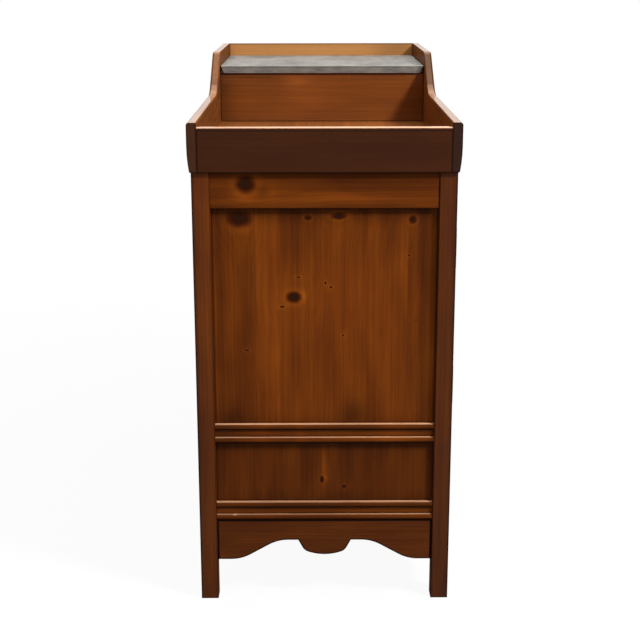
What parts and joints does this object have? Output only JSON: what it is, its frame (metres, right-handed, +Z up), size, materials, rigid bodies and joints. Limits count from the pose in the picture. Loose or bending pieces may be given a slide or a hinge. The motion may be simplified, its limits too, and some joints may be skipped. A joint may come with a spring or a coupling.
{
  "type": "dry sink cabinet",
  "caption": "Pine dry sink: a panelled case with two doors and a drawer under a skirted tray with a low well and a raised slate shelf over a small drawer.",
  "frame": {"origin": "on the floor, in the middle of the cabinet's footprint", "axes": "+X along the length towards the raised slate shelf, the front with the doors faces -Y, +Z up"},
  "size_m": [1.016, 0.5045, 1.004],
  "materials": {
    "stained_pine": "satin amber-brown stain over knotty pine",
    "plain_pine": "bare planed pine",
    "slate": "honed grey-green slate",
    "aged_brass": "aged brass",
    "magnet_steel": "dull zinc-plated steel"
  },
  "bodies": {
    "case": {"back_panel": "stained_pine", "back_rails": "plain_pine", "catch_magnets": "magnet_steel", "cupboard_floor": "plain_pine", "door_stop": "plain_pine", "drawer_runners": "plain_pine", "floor_cleats": "plain_pine", "front_apron": "stained_pine", "front_lower_rail": "stained_pine", "front_mid_rail": "stained_pine", "front_top_rail": "stained_pine", "hinge_frame_leaves": "aged_brass", "hinge_pins": "aged_brass", "inner_shelf": "plain_pine", "left_end_apron": "stained_pine", "left_end_lower_panel": "stained_pine", "left_end_lower_rail": "stained_pine", "left_end_mid_rail": "stained_pine", "left_end_top_rail": "stained_pine", "left_end_upper_panel": "stained_pine", "post_back_left": "stained_pine", "post_back_right": "stained_pine", "post_front_left": "stained_pine", "post_front_right": "stained_pine", "right_end_apron": "stained_pine", "right_end_lower_panel": "stained_pine", "right_end_lower_rail": "stained_pine", "right_end_mid_rail": "stained_pine", "right_end_top_rail": "stained_pine", "right_end_upper_panel": "stained_pine", "shelf_pins": "magnet_steel", "shelf_riser": "stained_pine", "slate_cleats": "plain_pine", "slate_slab": "slate", "small_drawer_runners": "plain_pine", "tray_back_board": "stained_pine", "tray_front_board": "stained_pine", "tray_left_board": "stained_pine", "tray_right_board": "stained_pine", "well_floor": "stained_pine"},
    "door_left": {"door_left_hinge_leaves": "aged_brass", "door_left_knob": "stained_pine", "door_left_panel": "stained_pine", "door_left_rails": "stained_pine", "door_left_stiles": "stained_pine", "door_left_strike": "magnet_steel"},
    "door_right": {"door_right_hinge_leaves": "aged_brass", "door_right_knob": "stained_pine", "door_right_panel": "stained_pine", "door_right_rails": "stained_pine", "door_right_stiles": "stained_pine", "door_right_strike": "magnet_steel"},
    "drawer": {"drawer_back": "plain_pine", "drawer_bottom": "plain_pine", "drawer_front": "stained_pine", "drawer_knobs": "stained_pine", "drawer_sides": "plain_pine"},
    "small_drawer": {"small_drawer_box": "plain_pine", "small_drawer_front": "stained_pine", "small_drawer_knob": "stained_pine"}
  },
  "joints": [
    {"name": "door_left_hinge", "type": "hinge", "parent": "case", "child": "door_left", "pos_m": [-0.468, -0.2411, 0.5619], "axis": [0, 0, -1], "range_deg": [0, 170]},
    {"name": "door_right_hinge", "type": "hinge", "parent": "case", "child": "door_right", "pos_m": [0.468, -0.2411, 0.5619], "axis": [0, 0, 1], "range_deg": [0, 170]},
    {"name": "drawer_slide", "type": "slide", "parent": "case", "child": "drawer", "axis": [0, -1, 0], "range_m": [0, 0.33]},
    {"name": "small_drawer_slide", "type": "slide", "parent": "case", "child": "small_drawer", "axis": [0, -1, 0], "range_m": [0, 0.3]}
  ]
}
